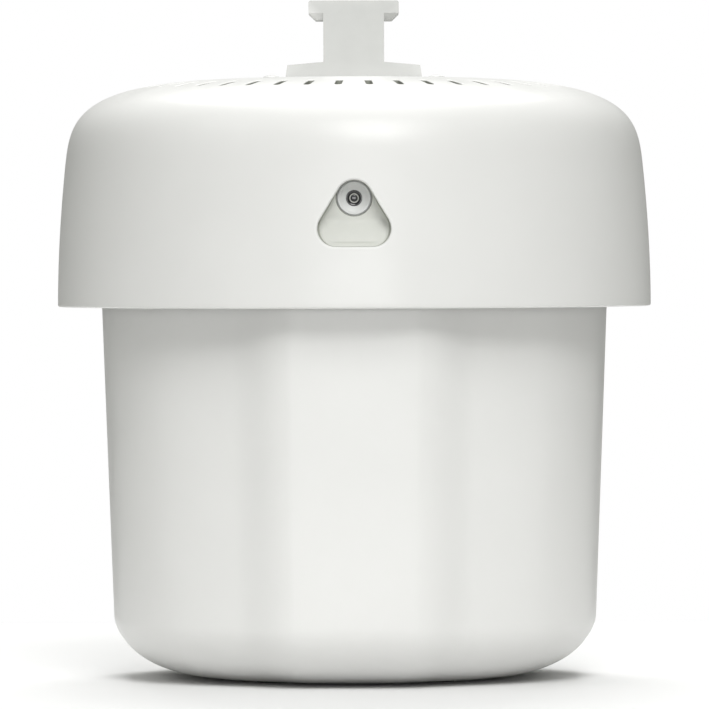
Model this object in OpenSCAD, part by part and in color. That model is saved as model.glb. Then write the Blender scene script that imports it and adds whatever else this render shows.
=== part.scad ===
// Ceiling-hung air purifier: a vented cover with a T-head hanger over a drum-shaped lower
// housing. Air is drawn in under the brim, down round the filter, through it to the core,
// up through the fan and out of the ring of slots in the crown.
// Origin at the centre of the foot plane, +Z up, front towards -Y, millimetres.

/* [Cover] */
// Diameter of the cover at its brim
brim_d = 230; // [205:1:276]
// Height of the brim above the floor
brim_z = 144; // [120:1:175]
// Height of the crown above the brim
cover_h = 88.5; // [84:0.5:107]
// Height of the rounded shoulder below the crown
shoulder_h = 39; // [32:1:45]
// Squareness of the shoulder, 2 is an ellipse
shoulder_power = 4; // [2.6:0.1:4.6]
// How far the skirt widens from the shoulder to the brim
skirt_flare = 2.5; // [1:0.1:5]
// Wall thickness of the cover
cover_wall = 2.6; // [2.2:0.1:3.2]

/* [Outlet slots] */
// Number of radial slots in the crown
slot_count = 44; // [30:1:50]
// Length of a slot along the radius
slot_length = 11.2; // [8:0.1:13.5]
// Width of a slot
slot_width = 2.6; // [2:0.1:3.2]

/* [Lower housing] */
// How far the brim overhangs the housing's rim
overhang = 16.5; // [13.5:0.5:20]
// Wall thickness of the housing
housing_wall = 2.6; // [2:0.1:3.2]
// Draft of the housing's side
housing_draft = 2.1; // [1:0.1:3]
// Width of the rounding between side and bottom
corner_w = 39.6; // [30:0.2:46]
// Height of the rounding between side and bottom
corner_h = 23.3; // [16:0.1:30]
// How far the edges of a raised panel stand out
panel_edge = 3.3; // [1:0.1:4]
// How far the middle of a raised panel stands out
panel_middle = 1.7; // [0:0.1:3]
// Depth of the valley beside a raised panel
valley = 1.75; // [0:0.05:2.5]

/* [Hanger] */
// Half width of the T head
head_half_w = 17.45; // [14:0.05:22]
// Width of the neck below the head
neck_w = 23.5; // [16:0.1:26]
// Height of the neck between foot and head
neck_h = 16.2; // [12:0.2:20]
// Thickness of the head
head_t = 7.5; // [6:0.1:10]
// Chamfer under the head
head_chamfer = 2.7; // [1:0.1:4]
// Half width of the hanger's foot
foot_half_w = 26.4; // [24:0.1:28]
// Thickness of the foot at the neck
foot_t = 6; // [4:0.1:8]
// Depth of the hanger from front to back
hanger_depth = 26; // [20:1:32]

/* [Button pocket] */
// Height of the button's axis above the brim
button_above_brim = 41.3; // [36:0.1:46]
// Radius of the pocket's rounded corners
pocket_corner_r = 6.8; // [6.8:0.1:8]
// Half distance between the pocket's lower corners
pocket_half_w = 6.95; // [6:0.05:9]
// Height from the lower corners to the button's axis
pocket_rise = 11.4; // [10:0.1:13]
// Depth of the pocket's floor
pocket_depth = 6.5; // [5:0.1:7]
// Radius of the button
button_r = 6.1; // [4.9:0.1:6.2]
// How far the button travels
button_travel = 1.2; // [0.6:0.1:1.4]

/* [Filter] */
// Width of the air gap between filter and housing
intake_gap = 18.9; // [16:0.1:24]
// Radial depth of the pleats
pleat_depth = 22; // [16:0.5:26]
// Number of pleats
pleat_count = 60; // [40:1:72]

/* [Fan] */
// Number of impeller blades
blade_count = 9; // [7:1:11]
// Diameter of the fan's inlet eye
eye_d = 68; // [56:1:76]
// Height of the impeller's channel
channel_h = 22; // [18:1:24]
// Radial gap between impeller and outlet duct
diffuser_w = 26.5; // [22:0.5:32]
// Diameter of the motor's shaft
shaft_d = 4; // [3:0.1:4]

/* [Hidden] */

shell_white = [0.90, 0.90, 0.88];
hanger_grey = [0.84, 0.85, 0.83];
inner_white = [0.86, 0.87, 0.87];
dark_plastic = [0.16, 0.16, 0.17];
rubber_black = [0.10, 0.10, 0.10];
steel = [0.66, 0.67, 0.69];
board_green = [0.10, 0.34, 0.20];
copper = [0.72, 0.42, 0.22];

eps = 0.01;             // overlap that fuses two shapes of one piece
seat_gap = 0.3;         // play where one body rests on another
fit_gap = 0.05;         // play round a screw, pin or bush
slide_gap = 0.5;        // play round the button

// Heights and radii of the main shells
foot_h = 0.8;                               // the rubber pads stand this far out
brim_r = brim_d / 2;
crown_z = brim_z + cover_h;
shoulder_z = crown_z - shoulder_h;
shoulder_r = brim_r - skirt_flare;
flare_power = 1.9;                          // the skirt straightens towards the brim
shear = flare_power * skirt_flare / (shoulder_z - brim_z) * shoulder_h / shoulder_r;
rim_cover = 2;                              // the housing's rim hides this far above the brim
rim_z = brim_z + rim_cover;
rim_r = brim_r - overhang;
corner_top_z = foot_h + corner_h;
corner_top_r = rim_r - (rim_z - corner_top_z) * tan(housing_draft);
base_flat_r = corner_top_r - corner_w;
housing_in_r = rim_r - housing_wall;        // inside of the rim
ring_h = 14;                                // height of the inlet ring
ring_top = rim_z + ring_h;
ring_wall = 3;
ring_out_r = rim_r - 0.5;
ring_in_r = ring_out_r - ring_wall;
flange_t = 3;                               // the ring's top flange
deck_z = ring_top + seat_gap;               // underside of the fan deck
deck_t = 3;
deck_top = deck_z + deck_t;
duct_out_r = rim_r - 6;
duct_wall = 2;
duct_in_r = duct_out_r - duct_wall;

// Crown and its fittings
slot_margin = 5.9;                          // from the slots' outer ends to the duct
slot_out_r = duct_in_r - slot_margin;
slot_mid_r = slot_out_r - slot_length / 2;
seat_r = 48;                                // flat seat under the crown
seat_z = crown_z - cover_wall - 0.7;
plate_half = [38, 24];
plate_t = 2.5;
plate_z = seat_z - plate_t;
crown_screw_at = [31.8, 20];
crown_screw_r = 1.75;
crown_head_r = 3.2;
crown_head_h = 2;
hanger_bolt_r = 2.5;
hanger_bolt_x = 6;
hanger_bolt_depth = 14;
hanger_top = crown_z + foot_t + neck_h + head_t;

// Cable gland behind the hanger
gland_y = 34;
gland_boss_r = 9.5;
gland_boss_z = crown_z + 0.3;
gland_thread_r = 6;
gland_hex_r = 8.66;
gland_bore_r = 3.3;                         // the cable's hole
gland_hex_t = 4;
gland_cap_z = gland_boss_z + gland_hex_t;
gland_cap_h = 7;

// Columns that carry the deck from the cover
column_r = 3.6;
column_at_r = ring_out_r + column_r + 0.4;
column_angles = [45, 135, 225, 315];
deck_screw_r = 1.5;

// Button pocket, on the front of the skirt
button_z = brim_z + button_above_brim;
function skirt_r(z) = brim_r - skirt_flare * pow((z - brim_z) / (shoulder_z - brim_z), flare_power);
pocket_face_y = skirt_r(button_z);          // the skirt's surface in front of the button
floor_y = pocket_face_y - pocket_depth;
floor_t = 2;
pocket_low_z = button_z - pocket_rise;
ramp_top_z = pocket_low_z + 3.2;            // where the floor starts to slope outwards
ramp_end_depth = 2.3;
button_bore_r = button_r + slide_gap;
button_sink = 0.6;                          // the button's face below the pocket's floor
button_flange_r = button_r + 1.7;
button_flange_t = 1.2;
stem_r = 3.2;
shroud_r = 3.05;
bezel_r = 1.78;
pipe_r = 1.35;
board_gap = 7.8;                            // from the floor's back to the button board
board_t = 1.2;
board_boss = [9.5, -9.5];

// Filter cartridge
filter_r = housing_in_r - intake_gap;
filter_low_z = 10;
filter_cap_t = 4;
media_low_z = filter_low_z + filter_cap_t;
gasket_t = 3;
filter_top_z = ring_top - gasket_t;
media_top_z = filter_top_z - filter_cap_t;
sleeve_t = 1.6;
media_out_r = filter_r - 1 - sleeve_t;
media_in_r = media_out_r - pleat_depth;
cage_r = media_in_r - 0.6;
cage_wall = 1.8;
cradle_r = 50;
cradle_wall = 6;
cradle_top = filter_low_z + 2;

// Fan and motor, stacked up from the deck
eye_r = eye_d / 2;
bell_lip = 2;                               // thickness of the eye's lip
bell_h = 6;
impeller_r = duct_in_r - diffuser_w;
shroud_in_r = eye_r + bell_lip + 1.2;
shroud_z = deck_top + 6.5;
shroud_t = 1.5;
blade_t = 1.4;
back_z = shroud_z + channel_h;
back_t = 1.5;
bell_r = 25.3;                              // outside of the motor's rotor bell
bell_wall = 1.7;
hub_wall = 1.9;
hub_r = bell_r + hub_wall;                  // pressed on the rotor bell
hub_z = back_z - 17;
motor_z = hub_z + 2;                        // underside of the rotor bell
motor_h = 24;
magnet_t = 1.9;
stator_r = 20.6;
tube_r = 7;
race_r = 5;
shaft_r = shaft_d / 2;
bearing_w = 4;
bearing_low_z = motor_z + 7.5;
bearing_high_z = motor_z + 21;
bracket_z = motor_z + motor_h + 3;
bracket_t = 3;
bracket_disc_r = 28;
bracket_angles = [90, 210, 330];
lug_len = 11;
grommet_r = 4;
control_z = bracket_z + bracket_t + 8;
control_r = 44;
control_t = 1.6;
standoff_at_r = 22;
screen_z = crown_z - cover_wall - 10;
screen_t = 1.2;

// ---- shapes shared by several pieces ----

// Point on the cover's shoulder: 0 degrees at the skirt, 90 at the axis
function shoulder_point(t, inset) =
    let (power = 2 / shoulder_power,
         across = pow(max(cos(t), 0), power),
         up = pow(sin(t), power))
    [(shoulder_r - inset) * across * (1 - shear * up), shoulder_z + (shoulder_h - inset) * up];

shoulder_steps = 24;
skirt_steps = 6;
function skirt_points(inset) = [
    for (i = [0 : skirt_steps - 1])
        let (z = brim_z + (shoulder_z - brim_z) * i / skirt_steps) [skirt_r(z) - inset, z]
];
function shoulder_points(inset) = [
    for (i = [0 : shoulder_steps]) shoulder_point(90 * i / shoulder_steps, inset)
];
function cover_outline(inset) = concat(skirt_points(inset), shoulder_points(inset));
function reversed(list) = [for (i = [len(list) - 1 : -1 : 0]) list[i]];

module cover_solid(inset) {
    rotate_extrude($fn = 180)
        polygon(concat([[0, brim_z]], cover_outline(inset)));
}

module tube(r_out, r_in, z, h, fn = 96) {
    translate([0, 0, z])
        rotate_extrude($fn = fn)
            translate([r_in, 0]) square([r_out - r_in, h]);
}

module disc(r, z, h, fn = 96) {
    translate([0, 0, z]) cylinder(r = r, h = h, $fn = fn);
}

// Outline of the pocket: a triangle with rounded corners, the button's axis in its top corner
corner_turn = atan2(pocket_half_w, pocket_rise);
function arc(x, y, r, from, upto) = [
    for (i = [0 : 12])
        let (a = from + (upto - from) * i / 12) [x + r * cos(a), y + r * sin(a)]
];
module rounded_triangle(r) {
    polygon(concat(
        arc(0, 0, r, corner_turn, 180 - corner_turn),
        arc(-pocket_half_w, -pocket_rise, r, 180 - corner_turn, 270),
        arc(pocket_half_w, -pocket_rise, r, 270, 360 + corner_turn)
    ));
}

// Local frame of the button: origin on the pocket's floor, +Z out of the pocket
module at_button() {
    translate([0, -floor_y, button_z]) rotate([90, 0, 0]) children();
}

module ring_of(count, r, first = 0) {
    for (i = [0 : count - 1])
        rotate([0, 0, first + i * 360 / count]) translate([r, 0, 0]) children();
}

module at_angles(angles, r) {
    for (a = angles) rotate([0, 0, a]) translate([r, 0, 0]) children();
}

// A round lead that follows a list of points
function unit(v) = v / norm(v);
function direction(path, i) =
    unit(path[min(i + 1, len(path) - 1)] - path[max(i - 1, 0)]);
function side_of(d) = unit(cross(d, abs(d[2]) > 0.9 ? [1, 0, 0] : [0, 0, 1]));
module swept(path, r, sides = 8) {
    rings = [
        for (i = [0 : len(path) - 1])
            let (d = direction(path, i), u = side_of(d), v = cross(d, u))
            for (s = [0 : sides - 1])
                path[i] + r * (cos(360 * s / sides) * u + sin(360 * s / sides) * v)
    ];
    last = (len(path) - 1) * sides;
    polyhedron(
        points = rings,
        faces = concat(
            [[for (s = [0 : sides - 1]) s]],
            [
                for (i = [0 : len(path) - 2]) for (s = [0 : sides - 1])
                    let (a = i * sides + s, b = i * sides + (s + 1) % sides)
                    each [[a, a + sides, b], [b, a + sides, b + sides]]
            ],
            [[for (s = [sides - 1 : -1 : 0]) last + s]]
        ),
        convexity = 4
    );
}

// ---- lower housing ----

panel_angles = [270, 30, 150];              // one raised panel faces the front
panel_half = 14;
valley_at = 29;
valley_end = 52;
function apart(a, b) = let (d = abs(a - b) % 360) min(d, 360 - d);
function ease(t) = (1 - cos(180 * t)) / 2;
function panel_out(off) =
    off < panel_half ? panel_middle + (panel_edge - panel_middle) * pow(off / panel_half, 2)
    : off < valley_at ? panel_edge - (panel_edge + valley) * ease((off - panel_half) / (valley_at - panel_half))
    : off < valley_end ? valley * (ease((off - valley_at) / (valley_end - valley_at)) - 1)
    : 0;
function relief(angle) = panel_out(min([for (p = panel_angles) apart(angle, p)]));

corner_steps = 9;
wall_steps = 3;
function corner_points(inset) = [
    for (i = [0 : corner_steps])
        let (t = 90 * i / corner_steps)
        [base_flat_r + (corner_w - inset) * sin(t), corner_top_z - (corner_h - inset) * cos(t)]
];
function side_points(inset) = [
    for (i = [1 : wall_steps])
        let (z = corner_top_z + (rim_z - corner_top_z) * i / wall_steps)
        [corner_top_r - inset + (z - corner_top_z) * tan(housing_draft), z]
];
function housing_outline(inset) = concat(corner_points(inset), side_points(inset));

module lower_housing() {
    around = 96;
    outline = concat(housing_outline(0), reversed(housing_outline(housing_wall)));
    rings = len(outline);
    points = [
        for (p = outline) for (i = [0 : around - 1])
            let (a = 360 * i / around, r = p[0] + relief(a) * p[0] / rim_r)
            [r * cos(a), r * sin(a), p[1]]
    ];
    color(shell_white)
        polyhedron(
            points = points,
            faces = concat(
                [[for (i = [0 : around - 1]) i]],
                [
                    for (k = [0 : rings - 2]) for (i = [0 : around - 1])
                        let (a = k * around + i, b = k * around + (i + 1) % around)
                        each [[a, a + around, b], [b, a + around, b + around]]
                ],
                [[for (i = [around - 1 : -1 : 0]) (rings - 1) * around + i]]
            ),
            convexity = 6
        );
}

module foot_pads() {
    color(rubber_black)
        ring_of(4, base_flat_r - 12, 45) cylinder(r = 8, h = foot_h, $fn = 48);
}

spigot_h = 8;
spigot_r = housing_in_r - valley - spigot_h * tan(housing_draft) - 0.1; // inside the valleys
window_count = 24;
window_w = 17;
magnet_r = 4;
magnet_h = 2.4;
catch_at_r = ring_in_r - 5.6;
catch_angles = [0, 90, 180, 270];
module inlet_ring() {
    window_z = rim_z + 1.5;
    window_h = ring_h - flange_t - 2.5;
    color(inner_white)
        difference() {
            union() {
                rotate_extrude($fn = 120)
                    polygon([
                        [spigot_r - 2, rim_z - spigot_h], [spigot_r, rim_z - spigot_h],
                        [spigot_r, rim_z], [ring_out_r, rim_z], [ring_out_r, ring_top],
                        [catch_at_r - 5.4, ring_top], [catch_at_r - 5.4, ring_top - flange_t],
                        [ring_in_r, ring_top - flange_t], [ring_in_r, rim_z + 1.2],
                        [spigot_r - 2, rim_z + 1.2]
                    ]);
            }
            ring_of(window_count, ring_in_r - 0.3, 360 / window_count / 2)
                translate([0, -window_w / 2, window_z])
                    cube([ring_wall * 2, window_w, window_h]);
            at_angles(catch_angles, catch_at_r)
                translate([0, 0, ring_top - magnet_h])
                    cylinder(r = magnet_r + fit_gap, h = magnet_h + 1, $fn = 40);
        }
}

module catch_magnets() {
    color(steel)
        at_angles(catch_angles, catch_at_r)
            translate([0, 0, ring_top - magnet_h])
                cylinder(r = magnet_r, h = magnet_h, $fn = 40);
}

module filter_cradle() {
    floor_z = foot_h + housing_wall;
    rib_h = 3.5;
    color(inner_white)
        difference() {
            union() {
                tube(cradle_r, cradle_r - cradle_wall, floor_z, cradle_top - floor_z);
                disc(9, floor_z, rib_h + 1);
                ring_of(6, 8, 15)
                    translate([0, -1.2, floor_z]) cube([cradle_r - cradle_wall - 7, 2.4, rib_h]);
            }
            ring_of(6, cradle_r - cradle_wall - 1, 45)
                translate([0, -8, floor_z + 3]) cube([cradle_wall + 2, 16, 3]);
        }
}

// ---- filter cartridge ----

module filter_media() {
    paper = 0.7;
    function zigzag(out) = [
        for (i = [0 : 2 * pleat_count - 1])
            let (a = 180 * i / pleat_count,
                 r = i % 2 == 0 ? media_out_r - (out ? 0 : 2.2) : media_in_r + (out ? 2.2 : 0))
            [r * cos(a), r * sin(a)]
    ];
    color([0.95, 0.95, 0.93])
        translate([0, 0, media_low_z])
            linear_extrude(media_top_z - media_low_z - paper * eps)
                difference() {
                    polygon(zigzag(true));
                    polygon(zigzag(false));
                }
}

module filter_top_cap() {
    color(inner_white)
        union() {
            tube(filter_r, cage_r - cage_wall - 2, media_top_z, filter_cap_t);
            tube(filter_r, filter_r - 0.9, media_top_z - 5, 5 + eps);
        }
}

module filter_bottom_cap() {
    color(inner_white)
        difference() {
            union() {
                disc(filter_r, filter_low_z, filter_cap_t);
                tube(filter_r, filter_r - 0.9, media_low_z - eps, 5);
            }
            disc(cradle_r + 0.4, filter_low_z - 1, 1 + cradle_top - filter_low_z + seat_gap);
        }
}

module filter_core_cage() {
    bars = 16;
    hoops = 5;
    height = media_top_z - media_low_z;
    color(dark_plastic)
        union() {
            ring_of(bars, cage_r - cage_wall)
                translate([0, -1, media_low_z]) cube([cage_wall - 0.2, 2, height]);
            for (i = [0 : hoops - 1])
                tube(cage_r, cage_r - cage_wall + 0.2, media_low_z + (height - 2) * i / (hoops - 1), 2);
        }
}

module carbon_sleeve() {
    color([0.13, 0.13, 0.14])
        tube(filter_r - 1, filter_r - 1 - sleeve_t + 0.1, media_low_z, media_top_z - media_low_z);
}

module filter_gasket() {
    color(rubber_black)
        tube(cage_r + 10, cage_r, filter_top_z, gasket_t);
}

module filter_pull_bar() {
    span = cage_r - cage_wall - 2;
    color(inner_white)
        difference() {
            translate([-span, -5, media_top_z]) cube([2 * span, 10, filter_cap_t]);
            tube(span + 10, span, media_top_z - 1, filter_cap_t + 2);
            translate([-span + 8, -3, media_top_z + 1.6])
                cube([2 * span - 16, 6, filter_cap_t]);
        }
}

// ---- cover ----

module slot_shape() {
    straight = slot_length - slot_width;
    square([straight, slot_width], center = true);
    for (s = [-1, 1]) translate([s * straight / 2, 0]) circle(d = slot_width, $fn = 32);
}

module slot_cuts() {
    translate([0, 0, crown_z - 14])
        linear_extrude(15)
            ring_of(slot_count, slot_mid_r, 270 + 180 / slot_count) slot_shape();
}

module pocket_cup() {
    intersection() {
        translate([0, 0, button_z])
            rotate([90, 0, 0])
                translate([0, 0, floor_y - floor_t])
                    linear_extrude(brim_r - floor_y + floor_t)
                        rounded_triangle(pocket_corner_r + 2);
        cover_solid(0.4);
    }
}

module pocket_cavity() {
    far = brim_r + 5;
    low = pocket_low_z - pocket_corner_r - 1;
    end_y = skirt_r(pocket_low_z - pocket_corner_r) - ramp_end_depth;
    intersection() {
        translate([0, -floor_y + eps, button_z])
            rotate([90, 0, 0])
                linear_extrude(far - floor_y) rounded_triangle(pocket_corner_r);
        translate([-brim_r, 0, 0])
            rotate([90, 0, 90])
                linear_extrude(2 * brim_r)
                    polygon([
                        [-far, low], [-end_y, low], [-end_y, pocket_low_z - pocket_corner_r],
                        [-floor_y, ramp_top_z], [-floor_y, button_z + 2 * pocket_corner_r],
                        [-far, button_z + 2 * pocket_corner_r]
                    ]);
    }
}

module top_cover() {
    color(shell_white)
        difference() {
            union() {
                rotate_extrude($fn = 180)
                    polygon(concat(cover_outline(0), reversed(cover_outline(cover_wall))));
                disc(seat_r, seat_z, crown_z - seat_z - 1.6);
                translate([0, gland_y, seat_z + 1])
                    cylinder(r = gland_boss_r, h = gland_boss_z - seat_z - 1, $fn = 64);
                intersection() {
                    at_angles(column_angles, column_at_r)
                        disc(column_r, deck_top, shoulder_z + 24 - deck_top, 40);
                    cover_solid(0.6);
                }
                pocket_cup();
                at_button()
                    for (s = [-1, 1])
                        translate([s * board_boss[0], board_boss[1], -floor_t - board_gap])
                            cylinder(r = 2.6, h = board_gap + 0.5, $fn = 32);
            }
            slot_cuts();
            pocket_cavity();
            at_button() translate([0, 0, -floor_t - 1]) cylinder(r = button_bore_r, h = floor_t + 2, $fn = 64);
            at_button()
                for (s = [-1, 1])
                    translate([s * board_boss[0], board_boss[1], -floor_t - board_gap - 1])
                        cylinder(r = 1 + fit_gap, h = 7, $fn = 24);
            at_angles(column_angles, column_at_r)
                translate([0, 0, deck_top - 1])
                    cylinder(r = deck_screw_r + fit_gap, h = 9, $fn = 32);
            for (sx = [-1, 1]) for (sy = [-1, 1])
                translate([sx * crown_screw_at[0], sy * crown_screw_at[1], seat_z - 1])
                    cylinder(r = crown_screw_r + fit_gap, h = 10, $fn = 32);
            for (sx = [-1, 1]) for (sy = [-1, 1])
                translate([sx * crown_screw_at[0], sy * crown_screw_at[1], crown_z - 1.2])
                    cylinder(r = crown_head_r + 0.15, h = 10, $fn = 48);
            for (s = [-1, 1])
                translate([s * hanger_bolt_x, 0, seat_z - 1])
                    cylinder(r = hanger_bolt_r + fit_gap, h = 10, $fn = 32);
            translate([0, gland_y, seat_z - 1])
                cylinder(r = gland_thread_r + fit_gap, h = 12, $fn = 48);
        }
}

// ---- hanger and its fixings ----

module hanger() {
    neck = neck_w / 2;
    foot_end_t = foot_t - 1.2;
    under = crown_z + foot_t + neck_h;
    foot_top_half = foot_half_w - 0.7;
    half = [
        [foot_half_w, crown_z], [foot_top_half, crown_z + foot_end_t],
        [neck, crown_z + foot_t], [neck, under],
        [head_half_w - head_chamfer, under], [head_half_w, under + head_chamfer],
        [head_half_w, hanger_top - 0.6], [head_half_w - 0.6, hanger_top]
    ];
    color(hanger_grey)
        difference() {
            translate([0, hanger_depth / 2, 0])
                rotate([90, 0, 0])
                    linear_extrude(hanger_depth)
                        polygon(concat(half, [for (p = reversed(half)) [-p[0], p[1]]]));
            for (sx = [-1, 1]) for (sy = [-1, 1])
                scale_mirror(sx, sy)
                    translate([neck, 0, 0])
                        rotate([90, 0, 90])
                            linear_extrude(head_half_w)
                                polygon([
                                    [hanger_depth / 2 - head_chamfer, under - eps],
                                    [hanger_depth / 2 + 1, under - eps],
                                    [hanger_depth / 2 + 1, under + head_chamfer + 1],
                                    [hanger_depth / 2, under + head_chamfer]
                                ]);
            for (s = [-1, 1])
                translate([s * hanger_bolt_x, 0, crown_z - 1])
                    cylinder(r = hanger_bolt_r + fit_gap, h = hanger_bolt_depth + 1.5, $fn = 32);
        }
}

module scale_mirror(sx, sy) {
    mirror([sx < 0 ? 1 : 0, 0, 0]) mirror([0, sy < 0 ? 1 : 0, 0]) children();
}

module hanger_plate() {
    color(steel)
        difference() {
            translate([-plate_half[0], -plate_half[1], plate_z])
                cube([2 * plate_half[0], 2 * plate_half[1], plate_t]);
            for (s = [-1, 1])
                translate([s * hanger_bolt_x, 0, plate_z - 1])
                    cylinder(r = hanger_bolt_r + fit_gap, h = plate_t + 2, $fn = 32);
            for (sx = [-1, 1]) for (sy = [-1, 1])
                translate([sx * crown_screw_at[0], sy * crown_screw_at[1], plate_z - 1])
                    cylinder(r = crown_screw_r + fit_gap, h = plate_t + 2, $fn = 32);
        }
}

module hanger_bolts() {
    head_h = 3.2;
    color(steel)
        for (s = [-1, 1])
            translate([s * hanger_bolt_x, 0, 0])
                difference() {
                    union() {
                        disc(4.4, plate_z - head_h, head_h, 40);
                        disc(hanger_bolt_r, plate_z - eps, crown_z + hanger_bolt_depth - plate_z, 32);
                    }
                    disc(2.3, plate_z - head_h - 1, 2.8, 6);
                }
}

module crown_screws() {
    color(shell_white)
        for (sx = [-1, 1]) for (sy = [-1, 1])
            translate([sx * crown_screw_at[0], sy * crown_screw_at[1], 0])
                union() {
                    intersection() {
                        disc(crown_head_r, crown_z - 1.2, crown_head_h + 1, 48);
                        translate([0, 0, crown_z - 1.2 + crown_head_h - 7])
                            sphere(r = 7, $fn = 64);
                    }
                    disc(crown_screw_r, plate_z - 2, crown_z - plate_z + 1, 32);
                }
}

// ---- cable gland ----

module at_gland() {
    translate([0, gland_y, 0]) children();
}

module gland_body() {
    color(dark_plastic)
        at_gland()
            difference() {
                union() {
                    disc(gland_thread_r, plate_z - 3, gland_boss_z - plate_z + 3 + eps, 48);
                    disc(gland_hex_r, gland_boss_z, gland_hex_t, 6);
                    disc(gland_thread_r, gland_boss_z + gland_hex_t - eps, 3, 48);
                }
                disc(gland_bore_r + 1, plate_z - 4, 30, 48);
            }
}

module gland_cap() {
    inner_h = 3.6;
    color(dark_plastic)
        at_gland()
            difference() {
                intersection() {
                    disc(8, gland_cap_z, gland_cap_h, 64);
                    translate([0, 0, gland_cap_z + gland_cap_h - 12]) sphere(r = 12.6, $fn = 96);
                }
                disc(gland_thread_r + 0.1, gland_cap_z - 1, inner_h + 1, 48);
                disc(gland_bore_r + 1.1, gland_cap_z, gland_cap_h - 1.6, 48);
                disc(gland_bore_r + 0.3, gland_cap_z, gland_cap_h + 2, 48);
            }
}

module gland_bush() {
    color(rubber_black)
        at_gland()
            tube(gland_bore_r + 0.95, gland_bore_r, plate_z - 1, gland_cap_z + gland_cap_h - 1.8 - plate_z, 64);
}

module gland_locknut() {
    color(dark_plastic)
        at_gland()
            difference() {
                disc(gland_hex_r, seat_z - 3.5, 3.5, 6);
                disc(gland_thread_r + fit_gap, seat_z - 4, 5, 48);
            }
}

// ---- fan deck and outlet duct ----

module fan_deck() {
    color(inner_white)
        difference() {
            union() {
                tube(ring_out_r, eye_r, deck_z, deck_t);
                tube(eye_r + bell_lip, eye_r, deck_top - eps, bell_h);
                at_angles(column_angles, column_at_r)
                    disc(column_r + 1.6, deck_z, deck_t, 48);
            }
            at_angles(column_angles, column_at_r)
                disc(deck_screw_r + fit_gap, deck_z - 1, deck_t + 2, 32);
            at_angles(catch_angles, catch_at_r)
                disc(magnet_r + 1 + fit_gap, deck_z - 1, 2.2, 40);
        }
}

module deck_screws() {
    color(steel)
        at_angles(column_angles, column_at_r)
            difference() {
                union() {
                    disc(2.8, deck_z - 2, 2, 40);
                    disc(deck_screw_r, deck_z - eps, deck_t + 7, 32);
                }
                disc(1.4, deck_z - 3, 2.2, 6);
            }
}

module catch_keepers() {
    color(steel)
        at_angles(catch_angles, catch_at_r) disc(magnet_r + 1, deck_z, 1.2, 40);
}

seal_t = 1.1;
function cover_inside_z(r) = lookup(r, shoulder_points(cover_wall));
duct_top = cover_inside_z(duct_out_r) - seal_t;
module outlet_duct() {
    color(inner_white)
        difference() {
            union() {
                tube(duct_out_r, duct_in_r, deck_top, duct_top - deck_top);
                at_angles(bracket_angles, duct_in_r - lug_len)
                    translate([0, -8, bracket_z - 5]) cube([lug_len + 0.5, 16, 4]);
                ring_of(6, duct_in_r - 3, 30)
                    translate([0, -2, screen_z - 2.2]) cube([3.5, 4, 2.2]);
            }
            at_angles(bracket_angles, duct_in_r - lug_len / 2)
                disc(1.5, bracket_z - 6, 6, 24);
            rotate([0, 0, 270])
                translate([duct_in_r - 1, -3, button_z - 17.5]) cube([duct_wall + 2, 6, 8.5]);
        }
}

module duct_seal() {
    color(rubber_black)
        rotate_extrude($fn = 180)
            polygon([
                [duct_in_r, duct_top], [duct_out_r, duct_top],
                [duct_out_r, cover_inside_z(duct_out_r)], [duct_in_r, cover_inside_z(duct_in_r)]
            ]);
}

module guide_vanes() {
    vanes = 12;
    vane_h = channel_h - 1;
    inner = impeller_r + 3.5;
    color(inner_white)
        union() {
            tube(duct_in_r - 0.4, inner - 1, deck_top, 1.4);
            ring_of(vanes, inner, 15)
                rotate([0, 0, -32])
                    translate([0, -0.8, deck_top]) cube([diffuser_w - 10, 1.6, vane_h]);
        }
}

module eye_guard() {
    color(inner_white)
        union() {
            for (r = [7, 14, 21, 28, eye_r]) tube(r, r - 1.4, deck_z + 0.6, 1.6, 64);
            for (a = [0, 60, 120])
                rotate([0, 0, a])
                    translate([-eye_r + 0.6, -0.9, deck_z + 0.6])
                        cube([2 * eye_r - 1.2, 1.8, 1.6]);
        }
}

module outlet_screen() {
    out_r = duct_in_r - 0.4;
    in_r = slot_mid_r - slot_length / 2 - 3;
    spokes = 48;
    rings = 6;
    color(dark_plastic)
        union() {
            for (i = [0 : rings - 1])
                let (r = in_r + 1 + (out_r - in_r - 1) * i / (rings - 1))
                    tube(r, r - 0.9, screen_z, screen_t, 120);
            ring_of(spokes, in_r + 0.5)
                translate([0, -0.4, screen_z]) cube([out_r - in_r - 1, 0.8, screen_t]);
        }
}

// ---- motor and impeller ----

module motor_bracket() {
    color([0.30, 0.31, 0.33])
        difference() {
            union() {
                disc(bracket_disc_r, bracket_z, bracket_t);
                at_angles(bracket_angles, bracket_disc_r - 6)
                    translate([0, -6, bracket_z]) cube([duct_in_r - bracket_disc_r + 5.2, 12, bracket_t]);
                disc(tube_r, bearing_low_z - 0.6, bracket_z - bearing_low_z + 1, 64);
            }
            disc(race_r + 0.02, bearing_low_z - 1, bracket_z - bearing_low_z - 1, 64);
            disc(shaft_r + 1, bearing_low_z, 40, 32);
            at_angles(bracket_angles, duct_in_r - lug_len / 2) disc(grommet_r - 1, bracket_z - 1, 6, 40);
            ring_of(3, standoff_at_r, 30) disc(1.3, bracket_z - 1, 6, 24);
            ring_of(6, 17, 0) disc(3, bracket_z - 1, 6, 32);
        }
}

module bracket_grommets() {
    bore = 1.6;
    color(rubber_black)
        at_angles(bracket_angles, duct_in_r - lug_len / 2)
            difference() {
                union() {
                    disc(grommet_r, bracket_z - 1, 0.95, 40);
                    disc(grommet_r - 1.05, bracket_z - 0.1, bracket_t + 0.2, 40);
                    disc(grommet_r, bracket_z + bracket_t + 0.05, 1, 40);
                }
                disc(bore, bracket_z - 2, 9, 32);
            }
}

module bracket_screws() {
    color(steel)
        at_angles(bracket_angles, duct_in_r - lug_len / 2)
            union() {
                disc(3, bracket_z + bracket_t + 1.1, 2, 40);
                disc(1.45, bracket_z - 4.8, bracket_t + 6, 32);
            }
}

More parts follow.
